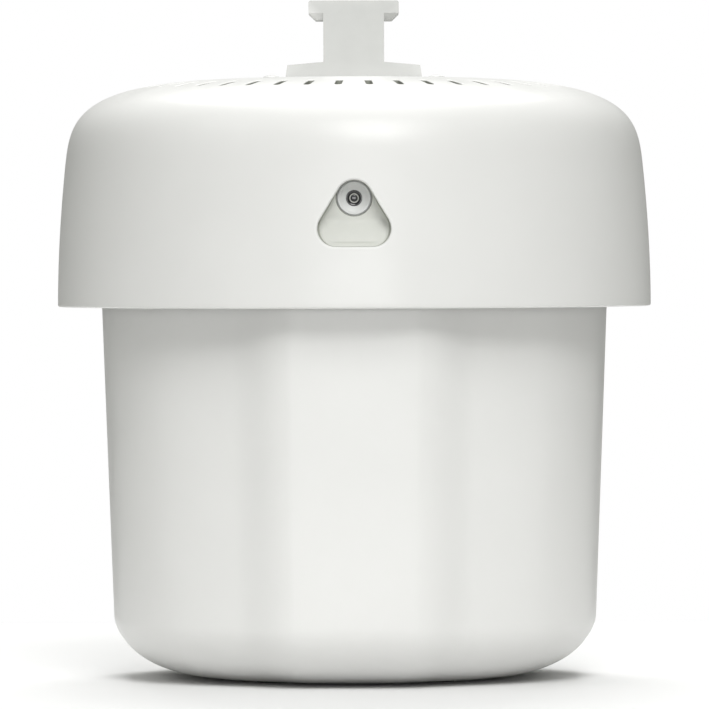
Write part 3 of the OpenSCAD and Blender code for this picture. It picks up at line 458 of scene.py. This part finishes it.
def raysFor(borderPoints):
    # for each border point, the outline ray in the same direction from the button's axis
    found = []
    for x, _, z in borderPoints:
        gap = np.abs((rayAngles - rayAngle((x, z - buttonZ)) + math.pi) % (2 * math.pi) - math.pi)
        found.append(pocketRays[int(gap.argmin())])
    return found


pocketFloorY = -(skirtRadius(buttonZ) - pocket["depth"])
rampTopZ = buttonZ - pocket["rise"] + pocket["rampTop"]
rampEndZ = buttonZ - pocket["rise"] - pocket["cornerRadius"]
rampEndY = -(skirtRadius(rampEndZ) - pocket["rampEnd"])


def skirtY(x, z, inset=0.0):
    radius = skirtRadius(z) - inset
    return -math.sqrt(radius * radius - x * x)


def floorY(z):
    # flat behind the button, then a ramp that leans outwards
    slope = (rampEndY - pocketFloorY) / (rampTopZ - rampEndZ)
    below, soft = rampTopZ - z, pocket["rampBlend"]
    groove = pocket["grooveDepth"] * math.exp(-(((z - rampEndZ - pocket["grooveAt"]) / (0.3 * mm)) ** 2))
    if below <= -soft:
        return pocketFloorY
    if below >= soft:
        return pocketFloorY + slope * below + groove
    return pocketFloorY + slope * (below + soft) ** 2 / (4 * soft)


# Joins the skirt's open rectangle to the round hole behind the button. Returns the hole's loop
def pocketPatch(shell, border, inner):
    rays = raysFor([shell.points[b] for b in border])
    corner, rim = pocket["cornerRadius"], pocket["rimRound"]
    hole = [rayAngle(rayPoint(r, corner)) for r in rays]
    inset = cover["wall"] if inner else 0.0

    def placed(radius, depthAt):
        points = []
        for r in rays:
            x, z = rayPoint(r, radius)
            points.append((x, depthAt(x, z + buttonZ), z + buttonZ))
        return shell.loop(points)

    def onSkirt(x, z):
        return skirtY(x, z, inset)

    outline = corner + (pocket["floorThickness"] if inner else rim)
    far = placed(outline + 0.7 * mm, onSkirt)
    near = [mixPoints(shell.points[b], shell.points[f], 0.5) for b, f in zip(border, far)]
    loops = [border, shell.loop([(x, onSkirt(x, z), z) for x, _, z in near]), far]
    if inner:
        loops.append(placed(outline, onSkirt))
        back = pocket["floorThickness"]
        loops.append(placed(outline, lambda x, z: max(floorY(z), skirtY(x, z, inset)) + back))
        edge = [rayPoint(r, outline) for r in rays]
        holeRadius, floorAt = pocket["boreRadius"], lambda z: floorY(z) + back
    else:
        for a in (0, 18, 36, 54, 72, 90):
            drop = rim * (1 - math.cos(turn(a)))
            loops.append(placed(corner + rim * (1 - math.sin(turn(a))), lambda x, z: onSkirt(x, z) + drop))
        shell.chain(loops)                          # up to here in the cover's own finish
        # from here on the pocket's inside takes the painted shade finish
        loops, shell.coat = loops[-1:], 1
        spans = []                                  # the fillet's reach inwards and upwards, for each ray
        for r in rays:
            (x, z), room = rayPoint(r, corner), math.hypot(*rayPoint(r, corner)) - pocket["boreRadius"]
            wall = max(floorY(z + buttonZ) - onSkirt(x, z + buttonZ) - rim, 0.05 * mm)
            sideways = min(max((math.sin(r[1]) + 1) / 0.8, 0), 1)
            reach = pocket["floorRound"] + (pocket["sideRound"] - pocket["floorRound"]) * sideways
            reach = min(reach, max(0.55 * room, 0.1 * mm))
            spans.append((reach, min(reach, 0.9 * wall)))
        for a in range(0, 91, 10):
            points = []
            for r, (reach, lift) in zip(rays, spans):
                x, z = rayPoint(r, corner)
                away = math.hypot(x, z)
                keep = 1 - reach * (1 - math.cos(turn(a))) / away
                x, z = x * keep, z * keep + buttonZ
                points.append((x, floorY(z) - lift * (1 - math.sin(turn(a))), z))
            loops.append(shell.loop(points))
            if a == 50:
                shell.coat = 3                      # painted shade along the line where wall meets floor
                shell.chain(loops)
                loops, shell.coat = loops[-1:], 1
        edge = [(shell.points[i][0], shell.points[i][2] - buttonZ) for i in loops[-1]]
        holeRadius, floorAt = pocket["boreRadius"] + pocket["boreRound"], floorY
    ring = [(holeRadius * math.cos(a), holeRadius * math.sin(a)) for a in hole]
    for share in pocket["backShares"] if inner else pocket["floorShares"]:
        flat = [mixPoints(e, r, share) for e, r in zip(edge, ring)]
        loops.append(shell.loop([(x, floorAt(z + buttonZ), z + buttonZ) for x, z in flat]))
    if not inner:
        shell.chain(loops)
        loops, shell.coat = loops[-1:], 2           # painted shade in the gap round the button
        for a in (30, 60, 90):
            r = holeRadius - pocket["boreRound"] * math.sin(turn(a))
            y = pocketFloorY + pocket["boreRound"] * (1 - math.cos(turn(a)))
            loops.append(shell.loop([(r * math.cos(h), y, r * math.sin(h) + buttonZ) for h in hole]))
    shell.chain(loops)
    shell.coat = 0
    return loops[-1]


# One side of the cover's wall. Returns its brim loop, its pocket hole and its slot holes
def coverSide(shell, inset):
    patchZ = np.linspace(pocket["lowest"], pocket["highest"], pocket["rows"] + 1)
    lowZ = brimZ + (cover["lipInner"] if inset else cover["lipRound"])
    skirtZ = list(np.linspace(lowZ, pocket["lowest"], 5 if inset else 12)[:-1]) + list(patchZ)
    profile = [(skirtRadius(z) - inset, z) for z in skirtZ]
    dense = denseInner if inset else denseOuter
    shoulder = [p for p in dense if p[0] > bandOut] + [(bandOut, crownHeight(bandOut, inset))]
    rows = cover["innerShoulderRows"] if inset else cover["shoulderRows"]
    shoulder = [p for p in evenly(shoulder, rows) if p[1] > pocket["highest"] + 0.3 * mm]
    profile += shoulder
    loops = [shell.loop([onRing(r, a, z) for a in columnAngles]) for r, z in profile]
    firstRow = skirtZ.index(patchZ[0])
    reach = pocket["columns"]
    gap = {c % columnCount for c in range(-reach, reach)}
    for k, (a, b) in enumerate(zip(loops, loops[1:])):
        shell.bridge(a, b, skip=gap if firstRow <= k < firstRow + pocket["rows"] else ())
    low, high = firstRow, firstRow + pocket["rows"]
    border = [loops[low][c] for c in range(-reach, reach + 1)]
    border += [loops[k][reach] for k in range(low + 1, high + 1)]
    border += [loops[high][c] for c in range(reach - 1, -reach - 1, -1)]
    border += [loops[k][-reach] for k in range(high - 1, low, -1)]
    hole = pocketPatch(shell, border, bool(inset))
    crownLoop = shell.loop([onRing(bandIn, a, crownHeight(bandIn, inset)) for a in columnAngles])
    openings = slotBand(shell, loops[-1], crownLoop, inset)
    inwards = [crownLoop]
    for share in (0.88, 0.74, 0.6, 0.46, 0.32, 0.18, 0.06):
        r = bandIn * share
        inwards.append(shell.loop([onRing(r, a, crownHeight(r, inset)) for a in columnAngles]))
    shell.chain(inwards)
    shell.fan(inwards[-1], (0, 0, crownHeight(0, inset)))
    return loops[0], hole, openings


def closedPost(shell, x, y, radius, low, high, steps=24):
    loops = []
    for r, z in ((radius - 0.3 * mm, low), (radius, low + 0.3 * mm), (radius, high)):
        loops.append(shell.loop([
            (x + r * math.cos(2 * math.pi * i / steps), y + r * math.sin(2 * math.pi * i / steps), z)
            for i in range(steps)
        ]))
    shell.chain(loops)
    shell.fan(loops[0], (x, y, low))
    shell.fan(loops[-1], (x, y, high))


def buildCover():
    shell = Shell()
    outerBrim, outerHole, outerSlots = coverSide(shell, 0.0)
    innerBrim, innerHole, innerSlots = coverSide(shell, cover["wall"])
    lips = [outerBrim]
    big, small = cover["lipRound"], cover["lipInner"]
    for a in (22.5, 45, 67.5, 90):
        r, z = brimR - big * (1 - math.cos(turn(a))), brimZ + big * (1 - math.sin(turn(a)))
        lips.append(shell.loop([onRing(r, c, z) for c in columnAngles]))
    for a in (90, 45):
        r = brimR - cover["wall"] + small * (1 - math.cos(turn(a)))
        z = brimZ + small * (1 - math.sin(turn(a)))
        lips.append(shell.loop([onRing(r, c, z) for c in columnAngles]))
    shell.chain(lips + [innerBrim])
    shell.bridge(outerHole, innerHole)
    # the slots' walls take the painted shade finish
    shell.coat = 2
    for a, b in zip(outerSlots, innerSlots):
        shell.bridge(a, b)
    shell.coat = 0
    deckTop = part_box("outlet_duct")[0].z
    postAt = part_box("inlet_ring")[1].x + 4 * mm
    for a in (45, 135, 225, 315):
        x, y = postAt * math.cos(turn(a)), postAt * math.sin(turn(a))
        closedPost(shell, x, y, 3.6 * mm, deckTop, shoulderZ + 18 * mm)
    coats = [coverPlastic, pocketPaintedShade, slotPaintedShade, creasePaintedShade]
    piece = shell.make("coverShell", "upper_unit", coats)
    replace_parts(piece, "top_cover")
    return piece


coverPiece = buildCover()
print("cover:", len(coverPiece.data.polygons), "faces")


drum = {
    "wall": 2.6 * mm,
    "draft": 2.1,               # degrees
    "cornerWidth": 39.6 * mm,
    "cornerHeight": 23.3 * mm,
    "panelEdge": 3.3 * mm,      # how far a raised panel stands out at its edges
    "panelMiddle": 1.7 * mm,
    "valley": 1.75 * mm,
    "panelAngles": (0, 120, 240),
    "panelHalf": 14,            # degrees
    "valleyAt": 29,
    "valleyEnd": 52,
    "rimRound": 0.7 * mm,
    "columns": 480,
}
drumLow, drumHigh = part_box("lower_housing")
rimZ = drumHigh.z
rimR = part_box("inlet_ring")[1].x + 0.5 * mm
drumTan = math.tan(turn(drum["draft"]))
cornerTopZ = drumLow.z + drum["cornerHeight"]
cornerTopR = rimR - (rimZ - cornerTopZ) * drumTan
flatR = cornerTopR - drum["cornerWidth"]


def ease(share):
    return (1 - math.cos(math.pi * share)) / 2


def panelOut(degrees):
    off = min(abs((degrees - p + 180) % 360 - 180) for p in drum["panelAngles"])
    edge, middle, valley = drum["panelEdge"], drum["panelMiddle"], drum["valley"]
    half, low, end = drum["panelHalf"], drum["valleyAt"], drum["valleyEnd"]
    if off < half:
        return middle + (edge - middle) * (off / half) ** 2
    if off < low:
        return edge - (edge + valley) * ease((off - half) / (low - half))
    if off < end:
        return valley * (ease((off - low) / (end - low)) - 1)
    return 0.0


def buildDrum():
    wall, rim = drum["wall"], drum["rimRound"]
    angles = [2 * math.pi * c / drum["columns"] for c in range(drum["columns"])]
    relief = [panelOut(math.degrees(a)) / rimR for a in angles]

    def corner(inset, count):
        line = []
        for i in range(count + 1):
            a = turn(90 * i / count)
            line.append((flatR + (drum["cornerWidth"] - inset) * math.sin(a),
                         cornerTopZ - (drum["cornerHeight"] - inset) * math.cos(a)))
        return line

    def side(inset, top, count):
        zs = np.linspace(cornerTopZ, top, count + 1)[1:]
        return [(cornerTopR - inset + (z - cornerTopZ) * drumTan, z) for z in zs]

    outside = [(flatR * k / 4, drumLow.z) for k in (1, 2, 3)] + corner(0, 28) + side(0, rimZ - rim, 24)
    for a in (30, 60, 90):
        outside.append((rimR - rim * (1 - math.cos(turn(a))), rimZ - rim * (1 - math.sin(turn(a)))))
    inside = [(flatR * k / 4, drumLow.z + wall) for k in (1, 2, 3)] + corner(wall, 14) + side(wall, rimZ - 0.3 * mm, 8)
    inside.append((rimR - wall + 0.3 * mm, rimZ))
    shell = Shell()
    loops = [
        shell.loop([onRing(r * (1 + k), a, z) for a, k in zip(angles, relief)])
        for r, z in outside + inside[::-1]
    ]
    shell.chain(loops)
    shell.fan(loops[0], (0, 0, drumLow.z))
    shell.fan(loops[-1], (0, 0, drumLow.z + wall))
    piece = shell.make("drumShell", "housing", [drumPlastic])
    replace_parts(piece, "lower_housing")
    return piece


drumPiece = buildDrum()
print("drum:", len(drumPiece.data.polygons), "faces")


button = {
    "shroudRadius": 3.03 * mm,
    "bezelRadius": 1.8 * mm,
    "bezelWidth": 0.42 * mm,
    "lensRadius": 1.36 * mm,
}


# Turns (radius, height) points about the button's axis; height grows towards the front
def lathe(name, profile, body, material, steps=96, sharpAngle=40):
    shell = Shell()
    loops = []
    for r, h in profile:
        loops.append(shell.loop([
            (r * math.cos(2 * math.pi * i / steps), pocketFloorY - h, buttonZ + r * math.sin(2 * math.pi * i / steps))
            for i in range(steps)
        ]))
    shell.chain(loops + [loops[0]])
    return shell.make(name, body, [material], sharpAngle)


def buildIndicator():
    shroud, bezel, lens = button["shroudRadius"], button["bezelRadius"], button["lensRadius"]
    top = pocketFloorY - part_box("indicator_shroud")[0].y       # the black ring's front, measured from the pocket's floor
    ring = [(shroud, top - 0.95 * mm), (shroud, top - 0.2 * mm)]
    for a in (0, 30, 60, 90):
        ring.append((shroud - 0.2 * mm * (1 - math.cos(turn(a))), top - 0.2 * mm * (1 - math.sin(turn(a)))))
    ring += [(shroud - 0.55 * mm, top - 0.02 * mm), (bezel + 0.25 * mm, top - 0.3 * mm),
             (bezel + 0.03 * mm, top - 0.45 * mm), (bezel + 0.03 * mm, top - 0.95 * mm)]
    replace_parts(lathe("indicatorRing", ring, "button", glossBlack), "indicator_shroud")
    half = button["bezelWidth"] / 2
    metal = [(bezel, top - 0.95 * mm), (bezel, top - half)]
    for a in range(0, 181, 15):
        metal.append((bezel - half + half * math.cos(turn(a)), top - half + half * math.sin(turn(a)) + 0.05 * mm))
    metal += [(bezel - 2 * half, top - half), (bezel - 2 * half, top - 0.95 * mm)]
    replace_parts(lathe("indicatorBezel", metal, "button", bezelMetal), "indicator_bezel")
    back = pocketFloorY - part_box("light_pipe")[1].y
    dome = [(0.02 * mm, back), (lens, back), (lens, top - 0.75 * mm)]
    for a in range(10, 90, 10):
        dome.append((lens * math.cos(turn(a)), top - 0.75 * mm + 0.35 * mm * math.sin(turn(a))))
    dome.append((0.02 * mm, top - 0.4 * mm))
    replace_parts(lathe("indicatorLens", dome, "button", smokedLens), "light_pipe")


buildIndicator()
print("button's indicator made")


def buildReturnCoil():
    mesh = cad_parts["return_spring"].data.copy()
    mesh.materials.clear()
    mesh.materials.append(platedSteel)
    for polygon in mesh.polygons:
        polygon.use_smooth = True
    piece = bpy.data.objects.new("returnCoil", mesh)
    bpy.context.collection.objects.link(piece)
    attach(piece, "upper_unit")
    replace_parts(piece, "return_spring")
    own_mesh(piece)    # gives the coil a mesh of its own; the real spring shortens against the board


buildReturnCoil()
print("return spring made")


nodeFinishes = {
    "hanger": (hangerPlastic, 0.8), "crown_screws": (hangerPlastic, 0.15), "button_cap": (buttonPlastic, 0.12),
    "foot_pads": (softRubber, 0.25), "inlet_ring": (innerPlastic, 0.3), "catch_magnets": (magnetBlack, 0.25),
    "filter_cradle": (innerPlastic, 0.4), "filter_media": (paper, 0), "filter_top_cap": (innerPlastic, 0.4),
    "filter_bottom_cap": (innerPlastic, 0.4), "filter_core_cage": (screenPlastic, 0.2),
    "carbon_sleeve": (foam, 0.2), "filter_gasket": (softRubber, 0.8), "filter_pull_bar": (innerPlastic, 0.4),
    "hanger_plate": (platedSteel, 0.3), "hanger_bolts": (platedSteel, 0.25), "gland_body": (screenPlastic, 0.35),
    "gland_cap": (screenPlastic, 0.3), "gland_bush": (softRubber, 0.2), "gland_locknut": (screenPlastic, 0.3),
    "fan_deck": (innerPlastic, 0.4), "deck_screws": (platedSteel, 0.2), "catch_keepers": (platedSteel, 0.15),
    "outlet_duct": (innerPlastic, 0.3), "duct_seal": (softRubber, 0.3), "guide_vanes": (innerPlastic, 0.3),
    "eye_guard": (innerPlastic, 0.25), "motor_bracket": (castMetal, 0.35), "bracket_screws": (platedSteel, 0.2),
    "bracket_grommets": (softRubber, 0.2), "bearing_outer_races": (bearingSteel, 0.1),
    "bearing_balls": (bearingSteel, 0), "stator_core": (sheetStack, 0.1), "stator_coils": (copperWire, 0.5),
    "control_board": (boardMask, 0.15), "board_standoffs": (platedSteel, 0.15), "board_screws": (platedSteel, 0.15),
    "capacitors": (capacitorSleeve, 0.3), "terminal_block": (terminalGreen, 0.15), "control_chips": (screenPlastic, 0.1),
    "outlet_screen": (screenPlastic, 0.1), "button_board": (boardMask, 0.1), "tact_switches": (screenPlastic, 0.1),
    "status_led": (ledLens, 0.15), "button_board_screws": (platedSteel, 0.1), "motor_lead": (redWire, 0),
    "button_lead": (paleWire, 0), "impeller": (fanPlastic, 0.25), "rotor_bell": (platedSteel, 0.4),
    "rotor_magnets": (magnetBlack, 0.15), "motor_shaft": (bearingSteel, 0.2), "shaft_clip": (platedSteel, 0.05),
    "bearing_inner_races": (bearingSteel, 0.1), "return_spring": (platedSteel, 0),
    "top_cover": (coverPlastic, 0), "lower_housing": (drumPlastic, 0), "indicator_shroud": (glossBlack, 0),
    "indicator_bezel": (bezelMetal, 0), "light_pipe": (smokedLens, 0),
}


def dressNode(name, material, edgeWidth):
    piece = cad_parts[name]
    piece.data.materials.clear()
    piece.data.materials.append(material)
    if edgeWidth:
        weld = piece.modifiers.new("weld", "WELD")
        weld.merge_threshold = 0.000005
        bevel = piece.modifiers.new("softEdges", "BEVEL")
        bevel.width = edgeWidth * mm
        bevel.segments = 3
        bevel.limit_method = "ANGLE"
        bevel.angle_limit = turn(32)
        bevel.use_clamp_overlap = True
        bevel.harden_normals = False
    for polygon in piece.data.polygons:
        polygon.use_smooth = True
    smooth = piece.modifiers.new("shading", "WEIGHTED_NORMAL")
    smooth.keep_sharp = True


for nodeName, (nodeMaterial, width) in nodeFinishes.items():
    dressNode(nodeName, nodeMaterial, width)
print("finishes on", len(nodeFinishes), "CAD pieces")


stage = {
    "cameraDistance": 2.873,
    "cameraHeight": 0.1689,
    "aimHeight": 0.1252,
    "lens": 375.7,
    "roll": -0.15,
    "floorSize": 0.8,
    "sky": 1.0,                 # what the camera sees behind the object
    "skyLight": 0.24,           # and what it adds to the light
}
softboxes = {
    # direction seen from above (0 is the front), height angle, distance, width, height, power
    "keyLow": (9, 33, 2.5, 1.0, 0.5, 13.3),
    "keyHigh": (9, 47, 2.5, 1.2, 1.0, 20.4),
    "side": (-60, 45, 2.5, 1.2, 1.2, 3.7),
    "top": (0, 89.9, 2.9, 2.0, 2.0, 25.7),
    "back": (180, 55, 2.5, 1.6, 1.0, 35.8),
    "fillCard": (0, 2, 3.6, 2.0, 0.6, 21.7),
}


def softbox(name, around, up, distance, width, height, power):
    middle = Vector((0, 0, 0.14))
    light = bpy.data.lights.new(name, "AREA")
    light.shape, light.size, light.size_y = "RECTANGLE", width, height
    light.energy = power
    lamp = bpy.data.objects.new(name, light)
    bpy.context.scene.collection.objects.link(lamp)
    a, e = turn(around), turn(up)
    towards = Vector((math.sin(a) * math.cos(e), -math.cos(a) * math.cos(e), math.sin(e)))
    lamp.location = middle + towards * distance
    lamp.rotation_euler = (-towards).to_track_quat("-Z", "Y").to_euler()
    return lamp


def buildStage():
    scene = bpy.context.scene
    scene.view_settings.view_transform = "Standard"
    floorMaterial = finish("paleFloor", (0.90, 0.90, 0.90), (0.88, 0.88, 0.88), roughness=(0.6, 0.7),
                           grain=0.01, grainDepth=0.000001, blotch=0.5, specular=0.0)
    half = stage["floorSize"] / 2
    mesh = bpy.data.meshes.new("floor")
    mesh.from_pydata([(-half, -half, 0), (half, -half, 0), (half, half, 0), (-half, half, 0)], [], [(0, 1, 2, 3)])
    mesh.materials.append(floorMaterial)
    floor = bpy.data.objects.new("floor", mesh)
    scene.collection.objects.link(floor)

    world = bpy.data.worlds.new("studio")
    scene.world = world
    world.use_nodes = True
    tree = world.node_tree
    tree.nodes.clear()
    out = tree.nodes.new("ShaderNodeOutputWorld")
    seen = nodeOf(tree, "ShaderNodeBackground", Color=(1, 1, 1, 1), Strength=stage["sky"])
    lit = nodeOf(tree, "ShaderNodeBackground", Color=(0.985, 1, 0.93, 1), Strength=stage["skyLight"])
    path = tree.nodes.new("ShaderNodeLightPath")
    mix = tree.nodes.new("ShaderNodeMixShader")
    tree.links.new(path.outputs["Is Camera Ray"], mix.inputs[0])
    tree.links.new(lit.outputs[0], mix.inputs[1])
    tree.links.new(seen.outputs[0], mix.inputs[2])
    tree.links.new(mix.outputs[0], out.inputs["Surface"])

    for name, values in softboxes.items():
        softbox(name, *values)

    camera = bpy.data.objects.new("camera", bpy.data.cameras.new("camera"))
    scene.collection.objects.link(camera)
    camera.data.lens = stage["lens"]
    camera.data.sensor_width = 36
    camera.data.clip_end = 100
    camera.location = (0, -stage["cameraDistance"], stage["cameraHeight"])
    look = (Vector((0, 0, stage["aimHeight"])) - camera.location).to_track_quat("-Z", "Y")
    camera.rotation_euler = (look.to_matrix() @ Matrix.Rotation(turn(stage["roll"]), 3, "Z")).to_euler()
    scene.camera = camera


buildStage()
print("stage made")
